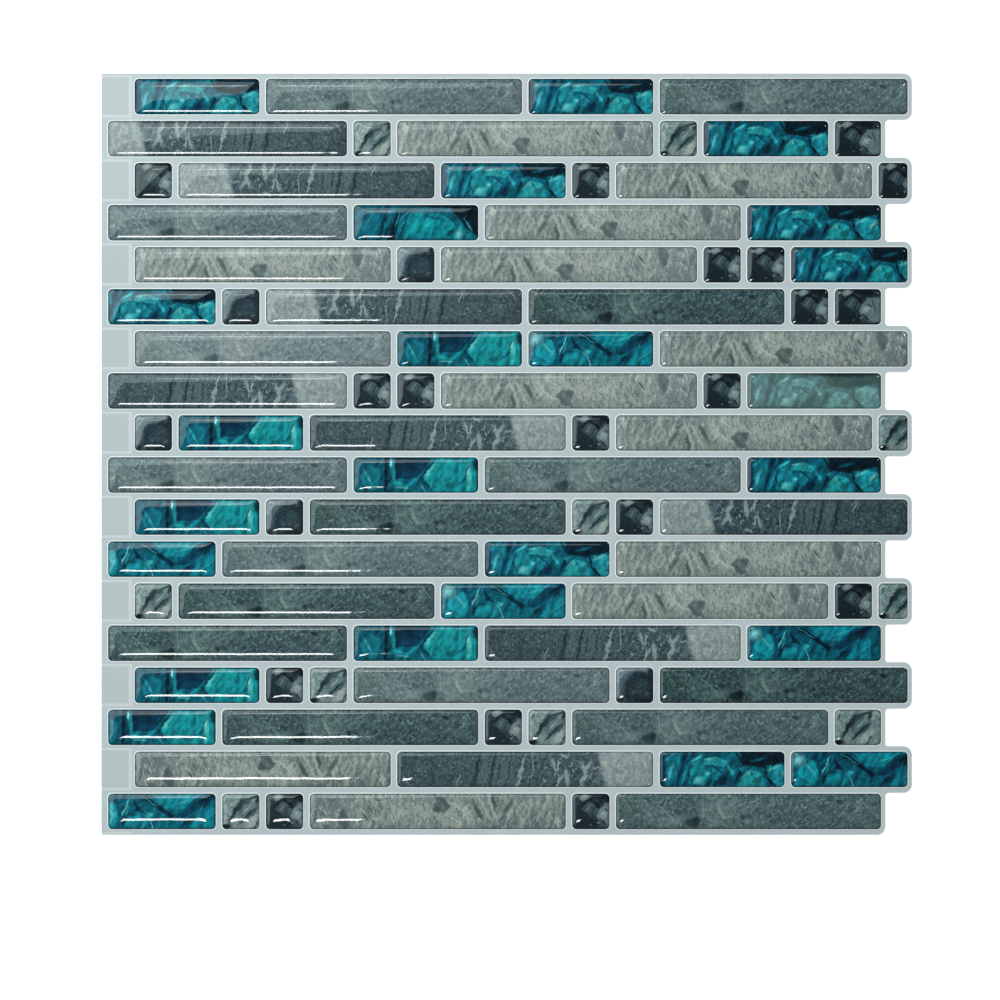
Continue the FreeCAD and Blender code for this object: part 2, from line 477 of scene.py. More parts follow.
# Pale slate: brushed and streaked, with a darker left end, a pale diamond, torn seams and one
# dark patch near its middle.
material, tree, torn = start_print("resin_over_pale_slate_print", warp_mm=0.8, warp_size=2.4)
ground = grain(tree, torn, 3.0, 5.0, 65, detail=4.0, roughness=0.6, low=0.38, high=0.62)
colour = mix(tree, ground, linear("#768785"), linear("#8F9E99"))
colour = paint(tree, colour, torn, (
    ("#617271", ((0, 0), (32.6, 0), (34.6, 13.5), (0, 13.5)), 0.62),
    ("#8A9894", (7, 2.5), (7, 3), 0, 0.6, 0.7), ("#55676A", (19, 9.4), (9, 3.4), 0, 0.6, 0.6),
    ("#98A59F", (34, 9.6), (4, 5), 0, 0.5, 0.5), ("#8E9A93", (17, 1.5), (5, 2.5), 10, 0.6, 0.5),
    ("#9CA8A2", (43, 8), (8, 7), 20, 0.4, 0.8), ("#96A49E", (62, 7), (11, 9), 0, 0.6, 0.45),
    ("#9CA6A0", (53.6, 6.6), (2.4, 5.4), 4, 0.4, 0.7), ("#64757A", (91, 5), (8, 8), 0, 0.6, 0.7),
))
dusk = grain(tree, torn, 2.6, 7.0, 102, detail=4.0, low=0.45, high=0.66)
colour = mix(tree, dusk, colour, linear("#687A7C"))
streaks = grain(tree, torn, 1.6, 8.0, 78, detail=4.0, low=0.47, high=0.64)
colour = mix(tree, streaks, colour, linear("#A9B3AD"))
brushed = grain(tree, torn, 0.5, 3.4, 58, low=0.48, high=0.78)
colour = mix(tree, brushed, colour, linear("#A8B4AE"))
pits = grain(tree, torn, 1.4, 2.6, 112, detail=4.0, low=0.5, high=0.74)
colour = mix(tree, pits, colour, linear("#566765"))
across = add(tree, "ShaderNodeSeparateXYZ", {0: torn}).outputs["X"]
scratches = grain(tree, torn, 0.7, 3.0, 112, detail=2.0, low=0.56, high=0.66)
scratched = multiply(tree, scratches, band(tree, across, 40.0, 97.0, 6.0))
colour = mix(tree, scratched, colour, linear("#637371"))
colour = blot(tree, colour, torn, "#98A7A0", (15.9, 7.0), (3.1, 4.3), 0, 0.12, 0.8, diamond=True)
colour = blot(tree, colour, torn, "#74857F", (15.9, 6.8), (2.0, 2.8), 0, 0.16, 0.8, diamond=True)
colour = paint(tree, colour, torn, (
    ("#98A7A0", (16.2, 9.8), (17.2, 13.2), 0.8), ("#95A39C", (15.0, 5.0), (16.8, 8.2), 0.7),
    ("#9BA9A3", (25.6, 11.0), (28.0, 4.7), 1.1), ("#9BA9A3", (28.0, 4.7), (29.6, 0.4), 1.2),
    ("#9BA9A3", (28.2, 10.2), (31.2, 4.6), 0.9), ("#9BA9A3", (31.2, 4.6), (33.2, 0.6), 1.1),
    ("#4D5E5C", (26.6, 6.0), (27.6, 0.4), 1.2), ("#4D5E5C", (31.4, 9.4), (34.6, 4.0), 1.8),
    ("#55665F", (20.6, 3.0), (22.4, 7.0), 1.6), ("#6B7A75", (36.0, 2.4), (38.4, 4.8), 1.0),
    ("#AAB6AE", (35.2, 11.4), (38.8, 6.4), 0.6), ("#AAB6AE", (38.4, 11.8), (45.2, 8.0), 0.6),
    ("#AAB6AE", (37.0, 7.0), (43.4, 3.6), 0.5),
    ("#5C6D6C", ((45.6, 0.9), (49.0, 1.2), (50.0, 4.4), (48.8, 7.2), (46.0, 7.4), (43.2, 5.8),
                 (42.8, 4.6), (44.2, 2.4)), 0.95),
    ("#4E5F60", (48.6, 6.0), (1.5, 1.4), 0, 0.3, 0.9),
    ("#4E5F60", (44.4, 4.6), (46.8, 2.2), 1.0), ("#72827F", (46.4, 5.2), (0.9, 0.8), 20, 0.6, 0.7),
    ("#72827F", (47.6, 2.6), (49.2, 3.8), 0.6), ("#394849", (74.6, 10.0), (76.3, 7.8), 0.7),
    ("#566665", (72.9, 7.6), (74.3, 4.2), 0.5), ("#566665", (70.0, 8.4), (70.6, 6.2), 0.5),
    ("#566665", (71.2, 6.4), (71.8, 8.4), 0.4), ("#55666A", (83.6, 10.2), (2.1, 3.4), 4, 0.4, 0.85),
    ("#4D5F68", (84.0, 7.4), (0.9, 1.6), 0, 0.4, 0.8), ("#627270", (87.6, 3.8), (1.3, 2.4), 20, 0.5, 0.6),
    ("#566665", (90.0, 8.6), (92.2, 6.6), 0.6), ("#566665", (69.4, 2.0), (71.6, 3.0), 0.5),
))
finish_print(tree, colour, mottle=0.12)
stone_finishes["A"] = material

# Grey slate: clouded and pitted, with wisps, small pale flecks and one dark spot.
material, tree, torn = start_print("resin_over_grey_slate_print", warp_mm=0.8, warp_size=2.2)
ground = grain(tree, torn, 3.4, 5.0, 55, detail=3.0, roughness=0.6, low=0.38, high=0.62)
colour = mix(tree, ground, linear("#465B60"), linear("#657A7C"))
crossed = grain(tree, torn, 1.5, 2.2, 130, detail=4.0, low=0.5, high=0.75)
colour = mix(tree, crossed, colour, linear("#7D9191"))
colour = paint(tree, colour, torn, (
    ("#455C60", ((0, 0), (31.5, 0), (33.5, 13.5), (0, 13.5)), 0.4),
    ("#7D918F", (16, 4), (11, 3), -30, 0.7, 0.4), ("#7E918D", (40, 7), (9, 6), 10, 0.7, 0.45),
    ("#4A5F66", (72, 6), (14, 7), 0, 0.7, 0.45), ("#52665F", (6, 8), (5, 5), 0, 0.7, 0.35),
))
wisps = grain(tree, torn, 0.7, 2.6, 48, detail=4.0, low=0.52, high=0.72)
colour = mix(tree, wisps, colour, linear("#879B99"))
pits = grain(tree, torn, 1.8, 2.6, 120, detail=4.0, low=0.50, high=0.72)
colour = mix(tree, pits, colour, linear("#3B4F54"))
flecks = grain(tree, torn, 1.1, 1.5, 60, detail=2.0, low=0.57, high=0.67)
colour = mix(tree, flecks, colour, linear("#82979B"))
colour = paint(tree, colour, torn, (
    ("#7B8F90", (14.5, 10.5), (21.5, 4.0), 0.6), ("#788C8D", (19.0, 11.5), (17.6, 6.6), 0.5),
    ("#7E9292", (22.6, 3.4), (3.4, 1.5), 15, 0.9, 0.6), ("#7E9292", (32.6, 11.6), (33.0, 5.0), 0.6),
    ("#869994", (38.2, 9.0), (40.4, 4.8), 1.2), ("#7B8F90", (40.0, 7.4), (46.0, 10.6), 0.7),
    ("#7B8F90", (35.0, 4.0), (38.6, 1.6), 0.6), ("#7B8F90", (50.0, 9.8), (54.0, 11.4), 0.8),
    ("#33474A", (28.8, 2.6), (2.7, 1.8), 0, 0.35, 0.85),
    ("#2B3F43", (30.4, 3.4), (1.5, 1.2), 0, 0.3, 0.85), ("#33474A", (47.6, 4.6), (0.9, 0.8), 0, 0.5, 0.8),
    ("#2E4145", (84.0, 10.4), (1.1, 0.8), 0, 0.5, 0.8), ("#7B8F90", (88.0, 5.0), (92.6, 9.6), 0.5),
    ("#7B8F90", (92.4, 11.6), (95.0, 7.6), 0.7),
))
finish_print(tree, colour, mottle=0.22)
stone_finishes["B"] = material

# Split slate: a pale left end, then dark stone combed upright, with torn pale veins.
material, tree, torn = start_print("resin_over_split_slate_print", warp_mm=1.1, warp_size=2.6)
pale = mix(tree, grain(tree, torn, 2.4, 3.4, 70), linear("#74878A"), linear("#9EACA9"))
pale = paint(tree, pale, torn, (("#7E8E8A", (8.5, 7.0), (5.5, 3.6), 0, 0.7, 0.6),))
pale = mix(tree, grain(tree, torn, 0.8, 1.2, 100, detail=4.0, low=0.5, high=0.7), pale, linear("#62767A"))
pale = mix(tree, grain(tree, torn, 0.9, 4.2, 64, low=0.50, high=0.70), pale, linear("#ACB8B2"))
pale = mix(tree, grain(tree, torn, 0.8, 3.0, 112, low=0.53, high=0.72), pale, linear("#5E7173"))
dark = mix(tree, grain(tree, torn, 1.0, 5.0, 82, low=0.4, high=0.62), linear("#22363D"), linear("#485E64"))
dark = paint(tree, dark, torn, (
    ("#5A6F74", (56.5, 7), (3.6, 9), -4, 0.5, 0.6), ("#61757A", (63.4, 8.5), (2.4, 7), -6, 0.6, 0.5),
    ("#5C7076", (19.5, 10.4), (3.0, 3.0), 0, 0.5, 0.8), ("#2A3D44", (88, 6), (10, 8), 0, 0.6, 0.5),
))
flecks = grain(tree, torn, 0.8, 1.2, 75, detail=2.0, low=0.54, high=0.66)
dark = mix(tree, flecks, dark, linear("#6B7F83"))
combed = grain(tree, torn, 0.4, 9.0, 80, detail=3.0, low=0.5, high=0.66)
dark = mix(tree, combed, dark, linear("#566C70"))
patches = grain(tree, torn, 2.4, 3.6, 65, detail=3.0, low=0.5, high=0.7)
dark = mix(tree, patches, dark, linear("#506569"))
pits = grain(tree, torn, 1.0, 1.8, 100, detail=3.0, low=0.50, high=0.66)
dark = mix(tree, pits, dark, linear("#26393F"))
across = add(tree, "ShaderNodeSeparateXYZ", {0: torn}).outputs["X"]
veins = grain(tree, torn, 1.3, 3.0, 78, detail=4.0, low=0.585, high=0.63)
veined = multiply(tree, veins, band(tree, across, 22.0, 43.0, 3.0))
dark = mix(tree, veined, dark, linear("#94A5A3"))
VEIN = "#8A9D9C"
dark = paint(tree, dark, torn, (
    (VEIN, (27.2, 12.6), (25.6, 8.4), 1.4), (VEIN, (25.6, 8.0), (24.4, 4.6), 1.9),
    (VEIN, (26.2, 6.2), (27.0, 4.2), 0.8), (VEIN, (32.0, 12.6), (32.8, 7.2), 1.5),
    (VEIN, (36.4, 12.8), (34.2, 8.8), 1.1), (VEIN, (36.0, 6.6), (35.6, 3.2), 0.8),
    (VEIN, (37.2, 6.8), (38.0, 3.0), 1.0), (VEIN, (20.6, 5.8), (22.6, 6.6), 0.8),
    (VEIN, (33.0, 1.6), (34.6, 1.0), 0.9), (VEIN, (45.4, 0.0), (45.3, 9.4), 0.45),
    (VEIN, (45.3, 9.4), (47.0, 9.9), 0.45), (VEIN, (51.6, 13.0), (49.4, 5.6), 1.5),
    (VEIN, (49.2, 6.6), (48.3, 0.0), 0.6), ("#34474D", (51.2, 10.4), (0.6, 0.7), 0, 0.4, 0.8),
    ("#1F3036", (61.6, 13.0), (59.6, 1.0), 1.2), ("#1F3036", (67.6, 12.0), (65.2, 1.0), 1.1),
    ("#7F9190", (74.0, 13.0), (73.0, 9.0), 0.7), ("#7F9190", (91.0, 13.2), (94.4, 9.4), 0.5),
    ("#22333A", (58.6, 11.0), (57.4, 1.0), 0.5), ("#2A3C42", (55.0, 12.0), (53.6, 1.0), 0.5),
))
left_part = fade(tree, dot(tree, torn, (1.0, 0.22, 0)), 21.8, 20.0)
finish_print(tree, mix(tree, left_part, dark, pale), mottle=0.22)
stone_finishes["D"] = material

for row in rows_with("ABCD"):
    node_name = f"row_{row:02d}_stone_bars"
    piece = gel_piece(f"stone_gels_row_{row:02d}", row, "ABCD", stone_finishes)
    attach(piece, "root")
    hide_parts(node_name)


# Teal bars.
# Short gels over four pictures of folded teal glass, from light blue chips to near black
# folds. One of them is also printed greyed and pale.
def teal_ground(name, low="#03344A", high="#0A6C7F"):
    """The ground all teal pictures share: leaning cells about 3 by 6 mm in shades between two
    teals, brushed over with the lighter teal and with thin pale threads."""
    material, tree, torn = start_print(name, warp_mm=0.45, warp_size=2.4)
    local = stretched(tree, torn, (6.5, 3.0), 64)
    cells = add(tree, "ShaderNodeTexVoronoi", {"Vector": local, "Scale": 1.0}, voronoi_dimensions="2D")
    cell = add(tree, "ShaderNodeSeparateXYZ", {0: cells.outputs["Color"]}).outputs["X"]
    colour = mix(tree, cell, linear(low), linear(high))
    leaning = grain(tree, torn, 2.0, 4.2, 62, detail=4.0, low=0.38, high=0.68)
    colour = mix(tree, leaning, colour, linear(high))
    threads = grain(tree, torn, 0.6, 3.0, 66, detail=4.0, low=0.54, high=0.76)
    return material, tree, torn, mix(tree, threads, colour, linear("#178694"))


def teal_gloss(tree, torn, colour):
    """What lies over the painted marks: folds that lighten and darken them in proportion, and
    a few pale threads."""
    folds = grain(tree, torn, 2.0, 4.5, 60, detail=3.0, roughness=0.5, low=0.32, high=0.68)
    colour = scaled(tree, colour, fade(tree, folds, 0.0, 1.0, 0.42, 1.32))
    thread = grain(tree, torn, 0.9, 5.0, 68, detail=2.0, low=0.64, high=0.92)
    return mix(tree, thread, colour, linear("#5FB8BC"))


teal_finishes = {}

# Pebbled teal glass: pale chips on the left, rounded pebbles at the bottom right and a near
# black fold above them. T5 is the same picture with most of its colour taken out.
PEBBLES = (
    ("#043450", (0.6, 6.0), (1.8, 8.0), 0, 0.6, 0.9),
    ("#1B8290", ((2.0, 0.6), (5.6, 0.4), (8.6, 12.0), (2.6, 12.6)), 0.6),
    ("#48A3B2", (3.2, 3.0), (5.0, 8.6), 1.2), ("#2D8FA0", (2.6, 10.6), (5.0, 12.6), 0.8),
    ("#053650", ((5.4, 0.0), (7.0, 0.0), (11.2, 13.4), (9.2, 13.4)), 0.9),
    ("#2491A0", (8.2, 1.0), (10.4, 7.4), 0.9),
    ("#1C8F9B", ((10.4, 1.0), (17.4, 0.4), (18.2, 6.0), (14.8, 10.6), (11.6, 9.0)), 0.9),
    ("#54B4B8", (14.7, 2.5), (1.7, 1.5), 0, 0.6, 0.95), ("#06405A", (10.0, 6.6), (12.6, 1.2), 0.5),
    ("#3BA6AC", (12.2, 9.8), (15.6, 11.8), 1.0),
    ("#2C9FA6", ((15.6, 8.4), (24.6, 7.6), (25.6, 10.0), (20.6, 12.2), (16.4, 11.0)), 0.85),
    ("#5FBDBC", (16.6, 10.4), (21.0, 11.2), 0.8), ("#5FBDBC", (18.2, 5.0), (0.7, 0.6), 0, 0.7, 0.8),
    ("#1E8F9C", ((18.6, 3.2), (22.6, 2.4), (23.2, 7.2), (19.4, 7.8)), 0.7),
    ("#052F47", (23.6, 2.4), (2.2, 2.0), 20, 0.5, 0.9), ("#2E9FA8", (25.4, 8.4), (27.6, 5.0), 1.2),
    ("#07415A", (19.8, 8.2), (24.6, 4.4), 0.7),
    ("#021826", ((31.2, 8.4), (39.0, 7.6), (50.0, 9.6), (50.0, 13.8), (29.6, 13.8)), 0.93),
    ("#0C5A6E", (35.2, 10.0), (39.2, 10.8), 1.2), ("#021826", (28.6, 13.0), (31.4, 8.6), 0.9),
    ("#021826", (31.4, 8.6), (27.8, 0.4), 0.9), ("#021826", (31.4, 8.6), (40.2, 7.4), 0.7),
    ("#2A95A1", ((29.4, 6.4), (31.2, 5.8), (32.4, 7.6), (30.6, 8.2)), 0.95),
    ("#279AA0", ((28.8, 0.0), (39.6, 0.0), (38.6, 5.6), (33.9, 7.0), (30.9, 4.8)), 1.0),
    ("#58B8B4", ((30.6, 3.6), (34.2, 4.6), (33.9, 6.9), (30.9, 4.8)), 0.8),
    ("#17808D", ((34.0, 0.0), (39.6, 0.0), (38.8, 4.0)), 0.7), ("#0B6677", (33.9, 6.6), (35.8, 3.0), 0.4),
    ("#021826", (39.6, 7.4), (40.4, 3.6), 0.9), ("#021826", (40.4, 3.6), (43.6, 0.0), 1.1),
    ("#2193A0", ((41.0, 4.2), (44.0, 0.0), (50.2, 0.0), (50.2, 8.4), (40.8, 8.2)), 0.95),
    ("#5AB8B4", (41.4, 6.6), (44.8, 8.0), 0.9), ("#86C2B2", (46.6, 5.0), (48.2, 7.0), 0.9),
    ("#0F7080", (44.2, 1.8), (48.4, 3.8), 0.8), ("#042838", (50.4, 8.4), (1.2, 4.0), 0, 0.5, 0.9),
)
for word, name in (("T1", "resin_over_pebbled_teal_print"), ("T5", "resin_over_greyed_teal_print")):
    material, tree, torn, colour = teal_ground(name)
    colour = teal_gloss(tree, torn, paint(tree, colour, torn, PEBBLES))
    if word == "T5":
        grey = add(tree, "ShaderNodeHueSaturation", {"Saturation": 0.62, "Color": colour}).outputs[0]
        colour = mix(tree, 0.36, grey, linear("#7FA39A"))
        # The two dark blots at the top right are partly the print's near black and partly painted shade
        # along the gel's top edge.
        colour = paint(tree, colour, torn, (
            ("#3F5C5C", (42, 10.4), (9, 2.4), 0, 0.6, 0.7),
            ("#1E3336", (36, 13.6), (16, 1.6), 0, 0.5, 0.95),
        ))
    finish_print(tree, colour, mottle=0.18)
    teal_finishes[word] = material

# Cut teal glass: a near black block in the middle and one broad bright cut on the right.
material, tree, torn, colour = teal_ground("resin_over_cut_teal_print")
colour = paint(tree, colour, torn, (
    ("#063F55", (6.0, 7.5), (6.5, 6.0), 0, 0.6, 0.6),
    ("#14808F", ((3.4, 1.6), (9.2, 0.8), (10.4, 8.4), (5.6, 10.8), (2.8, 7.0)), 0.5),
    ("#2FA0AA", (4.0, 8.6), (6.8, 3.4), 0.8),
    ("#04202F", ((11.2, 0.0), (13.0, 0.0), (13.6, 13.4), (11.6, 13.4)), 0.95),
    ("#042C44", ((15.6, 4.8), (23.6, 5.4), (29.4, 12.0), (29.0, 13.4), (15.2, 13.4)), 0.96),
    ("#064058", (21.0, 7.0), (3.0, 1.2), 0, 0.6, 0.8), ("#1C9AA0", (14.6, 10.4), (15.6, 4.0), 1.3),
    ("#1C9AA0", (15.6, 4.0), (20.4, 2.0), 1.5), ("#5FC2BF", (16.6, 2.2), (20.2, 1.6), 0.7),
    ("#0E7684", ((15.4, 0.0), (24.0, 0.0), (22.6, 2.0), (16.6, 1.4)), 0.7),
    ("#148694", (20.0, 2.4), (24.4, 5.6), 1.2), ("#8FD4D6", (14.2, 12.8), (14.1, 9.8), 0.5),
    ("#128F95", ((26.0, 6.2), (30.2, 0.0), (46.4, 0.0), (46.4, 13.4), (31.2, 13.4)), 1.0),
    ("#12808A", ((31.4, 13.4), (46.4, 9.4), (46.4, 13.4)), 0.7),
    ("#5CC0B8", ((26.0, 6.2), (28.6, 6.6), (31.8, 11.4), (30.6, 11.4)), 0.85),
    ("#4DB8B8", ((23.8, 5.4), (26.6, 0.0), (28.0, 0.0), (25.0, 4.4)), 0.85),
    ("#04283C", ((24.2, 6.0), (28.4, 1.2), (29.0, 2.2), (25.2, 6.6)), 0.95),
    ("#04283C", (26.0, 6.4), (31.0, 13.0), 0.5),
    ("#0B6F7E", ((33.0, 1.6), (36.0, 2.2), (37.6, 6.6), (36.4, 7.0)), 0.8),
    ("#0C7A86", (39.4, 12.4), (39.0, 5.0), 1.0), ("#0B6376", (38.6, 2.4), (42.4, 5.8), 1.2),
    ("#41B0AE", (43.4, 1.6), (43.8, 10.8), 1.5), ("#7BCBC6", (43.0, 6.0), (43.6, 9.6), 0.6),
    ("#04303F", (46.2, 10.6), (1.2, 2.6), 0, 0.5, 0.95),
    ("#0A5165", (38.6, 13.3), (6.0, 0.7), 0, 0.5, 0.8),
))
colour = teal_gloss(tree, torn, colour)
finish_print(tree, colour, mottle=0.18)
teal_finishes["T2"] = material

# Stroked teal glass: a pale corner, leaning chips and one long dark stroke.
material, tree, torn, colour = teal_ground("resin_over_stroked_teal_print")
colour = paint(tree, colour, torn, (
    ("#1695A3", ((0.8, 0.4), (9.6, 0.4), (10.6, 5.0), (8.8, 10.6), (3.0, 8.0)), 0.9),
    ("#7CC2C9", (3.0, 10.4), (2.0, 2.1), 0, 0.8, 0.9), ("#4CB4BE", (5.4, 9.0), (8.4, 5.4), 1.2),
    ("#0D7080", (3.0, 3.6), (6.8, 1.6), 1.0), ("#0A4A62", (9.2, 12.6), (11.2, 5.0), 0.8),
    ("#17919E", ((12.6, 0.4), (22.0, 0.4), (21.4, 5.0), (13.4, 5.6)), 0.75),
    ("#062F47", (15.2, 12.6), (12.0, 4.6), 1.2), ("#5DBFC6", (14.4, 11.2), (11.9, 5.6), 0.5),
    ("#2A98A4", (14.2, 8.8), (13.4, 5.8), 0.9),
    ("#04283C", ((15.8, 11.8), (16.4, 7.0), (21.2, 5.4)), 0.95),
    ("#0F8A98", ((23.4, 12.8), (28.4, 7.4), (39.0, 7.6), (41.0, 13.4)), 0.9),
    ("#03243A", ((18.0, 12.4), (30.6, 3.6), (31.8, 5.4), (21.0, 12.8)), 0.96),
    ("#49B6BE", (19.2, 12.6), (24.6, 8.8), 0.35),
    ("#3AA9AE", ((19.6, 5.4), (21.8, 3.6), (24.0, 5.8), (21.8, 7.0)), 0.8),
    ("#6CC5CC", (22.4, 3.6), (23.3, 0.2), 0.4),
    ("#0C7483", ((24.0, 0.4), (32.0, 0.4), (31.0, 3.4), (25.0, 6.0)), 0.8),
    ("#053A52", ((31.4, 4.4), (35.4, 4.0), (46.8, 11.0), (46.8, 13.4), (40.0, 12.6)), 0.85),
    ("#02202F", (41.0, 10.0), (46.6, 13.0), 1.4),
    ("#0E8090", ((36.4, 0.4), (46.6, 0.4), (46.6, 8.6), (41.0, 5.8)), 0.9),
    ("#2BA0AA", (41.4, 2.4), (45.8, 6.0), 0.7), ("#052F44", (34.0, 1.0), (37.4, 4.4), 0.8),
    ("#38A5AE", (32.0, 9.4), (38.0, 11.4), 0.7),
))
colour = teal_gloss(tree, torn, colour)
finish_print(tree, colour, mottle=0.18)
teal_finishes["T3"] = material

# Deep teal glass: a bright middle between leaning dark bars and a near black right end.
material, tree, torn, colour = teal_ground("resin_over_deep_teal_print", low="#032F43", high="#076576")
colour = paint(tree, colour, torn, (
    ("#0F6B80", ((3.0, 1.0), (8.0, 0.4), (10.4, 10.4), (5.0, 11.0)), 0.7),
    ("#31909C", (6.6, 9.4), (4.4, 5.2), 0.7), ("#042C42", (9.6, 0.8), (12.4, 11.0), 1.3),
    ("#03182A", ((12.0, 0.0), (15.6, 0.0), (18.2, 10.8), (16.4, 11.2)), 0.95),
    ("#0B7282", (13.0, 6.0), (14.0, 9.6), 0.8), ("#2B8F9E", (15.8, 5.2), (17.6, 11.0), 0.4),
    ("#0B8692", ((17.4, 0.6), (39.4, 0.6), (39.0, 5.6), (33.0, 10.4), (21.6, 10.8)), 0.9),
    ("#2B93A2", (16.6, 6.6), (21.4, 11.4), 0.5), ("#2B93A2", (18.6, 6.2), (22.6, 11.2), 0.4),
    ("#04304A", (17.6, 2.4), (20.6, 8.8), 0.7), ("#0FA0A6", (26.0, 5.4), (5.0, 2.6), 14, 0.6, 0.7),
    ("#075A6E", (27.0, 9.4), (35.0, 7.2), 1.2),
    ("#03121C", ((37.4, 8.2), (43.0, 3.8), (46.2, 0.0), (47.6, 0.0), (47.6, 13.4), (36.4, 13.4)), 0.95),
    ("#03141E", (35.0, 13.3), (14.0, 1.1), 0, 0.4, 1.0), ("#2B7F96", (42.4, 7.4), (44.4, 3.8), 0.7),
    ("#2F9DA2", (39.9, 2.6), (1.9, 2.2), -20, 0.7, 0.9),
    ("#6FB8AC", (39.8, 2.2), (0.8, 1.2), 0, 0.8, 0.7),
    ("#0A7482", ((42.6, 0.4), (45.4, 0.4), (43.6, 3.4)), 0.8), ("#06384C", (35.6, 1.8), (37.8, 4.6), 0.8),
))
colour = teal_gloss(tree, torn, colour)
finish_print(tree, colour, mottle=0.18)
teal_finishes["T4"] = material

for row in rows_with("T"):
    node_name = f"row_{row:02d}_teal_bars"
    piece = gel_piece(f"teal_gels_row_{row:02d}", row, "T", teal_finishes)
    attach(piece, "root")
    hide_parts(node_name)


# Marble squares.
# One-cell gels over three cuttings of a dark marble: a near black one with a pale wedge, a
# pale one with two dark bands, and one that is all dark below its upper left corner.
marble_finishes = {}


def marble_ground(name, low, high):
    """The ground all marble pictures share: blotches of two greys."""
    material, tree, torn = start_print(name, warp_mm=0.55, warp_size=1.6)
    blotches = grain(tree, torn, 1.2, 2.0, 50, low=0.38, high=0.64)
    return material, tree, torn, mix(tree, blotches, linear(low), linear(high))


# Black marble: a pale wedge on the right and thin pale arcs.
material, tree, torn, colour = marble_ground("resin_over_black_marble_print", "#14212A", "#33484F")
colour = paint(tree, colour, torn, (
    ("#7D9192", (4.6, 12.0), (1.9, 1.0), 10, 0.5, 0.95), ("#3A4E55", (1.2, 6.0), (1.2, 5.0), 0, 0.6, 0.8),
    ("#465C62", (7.0, 7.8), (3.2, 2.6), 10, 0.6, 0.8),
    ("#1A2830", ((1.0, 0.4), (8.6, 0.4), (8.4, 4.6), (6.0, 6.2), (3.4, 9.0), (1.0, 9.0)), 0.8),
    ("#121C22", (3.2, 8.8), (6.2, 11.0), 1.1), ("#121C22", (6.0, 11.0), (9.4, 9.6), 1.2),
    ("#121C22", ((8.2, 9.2), (9.8, 7.6), (11.0, 8.4), (9.4, 10.8)), 0.95),
    ("#6E8386", ((8.6, 5.2), (12.0, 0.6), (18.4, 0.6), (18.4, 10.6), (12.4, 10.2), (10.2, 7.8)), 0.85),
    ("#41565C", (14.2, 9.0), (15.2, 5.6), 0.9), ("#8FA2A0", (11.8, 5.6), (1.5, 1.1), 20, 0.6, 0.8),
    ("#2A3C44", (12.6, 8.0), (13.8, 6.6), 0.6),
    ("#3C5056", ((9.8, 0.4), (13.4, 0.4), (12.4, 2.6), (10.6, 3.8)), 0.8),
    ("#1B2A31", (10.6, 4.0), (12.8, 1.6), 0.9), ("#141F26", (11.6, 12.2), (3.4, 1.2), -6, 0.4, 0.95),
    ("#6C8184", (9.9, 2.6), (0.5, 0.5), 0, 0.5, 0.8), ("#5E7174", (7.0, 1.6), (0.4, 0.4), 0, 0.6, 0.7),
    ("#5E7174", (5.6, 7.2), (7.2, 9.6), 0.5), ("#1C2B32", (7.4, 6.0), (8.6, 8.6), 0.5),
))
finish_print(tree, colour, mottle=0.35)
marble_finishes["M1"] = material

# Banded marble: pale, with two dark bands that lean to the right.
material, tree, torn, colour = marble_ground("resin_over_banded_marble_print", "#5E7678", "#8FA4A1")
colour = paint(tree, colour, torn, (
    ("#587174", (8.6, 7.0), (4.4, 2.6), 48, 0.4, 0.9), ("#172C32", (3.0, 3.2), (5.6, 8.6), 1.6),
    ("#172C32", (5.2, 7.0), (8.0, 10.8), 2.3), ("#1B3137", (8.0, 10.8), (13.6, 12.6), 1.0),
    ("#3A5357", (7.8, 8.8), (10.6, 11.4), 1.1), ("#152B32", (6.6, 2.2), (12.6, 8.4), 1.1),
    ("#31494E", (10.2, 4.4), (13.0, 8.0), 1.3), ("#8CA19C", (8.0, 6.0), (11.2, 9.6), 0.5),
    ("#9BADA6", (11.2, 2.6), (3.4, 1.5), 46, 0.5, 0.85),
    ("#15242A", (1.4, 0.9), (2.2, 1.1), 12, 0.5, 1.0), ("#31494E", (12.0, 0.4), (13.8, 3.4), 0.8),
    ("#24393E", (12.8, 10.0), (13.6, 12.8), 1.2), ("#4E686B", (0.8, 8.4), (2.0, 11.8), 0.6),
))
finish_print(tree, colour, mottle=0.35)
marble_finishes["M2"] = material

# Shadowed marble: a pale upper left corner round one large dark patch.
material, tree, torn, colour = marble_ground("resin_over_shadowed_marble_print", "#6A8084", "#8799A0")
colour = paint(tree, colour, torn, (
    ("#475D64", (7.0, 5.6), (6.4, 7.0), -20, 0.12, 0.9),
    ("#21323A", (9.7, 4.8), (7.0, 7.3), -24, 0.16, 1.0),
    ("#374D54", (9.0, 6.0), (3.6, 2.2), 30, 0.8, 0.5), ("#1D2B33", (13.4, 10.6), (1.8, 3.6), 0, 0.5, 1.0),
    ("#4E646A", (6.6, 4.2), (0.5, 0.5), 0, 0.6, 0.7), ("#4E646A", (11.6, 3.4), (0.9, 0.5), 20, 0.6, 0.7),
    ("#1A282F", (10.6, 1.0), (3.6, 1.2), 0, 0.5, 0.9), ("#1D2C33", (1.4, 1.0), (1.8, 1.6), 0, 0.4, 0.95),
))
specks = grain(tree, torn, 0.7, 1.1, 30, detail=3.0, low=0.55, high=0.75)
colour = mix(tree, specks, colour, linear("#4B6066"))
finish_print(tree, colour, mottle=0.35)
marble_finishes["M3"] = material

for row in rows_with("M"):
    node_name = f"row_{row:02d}_marble_squares"
    piece = gel_piece(f"marble_gels_row_{row:02d}", row, "M", marble_finishes)
    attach(piece, "root")
    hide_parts(node_name)


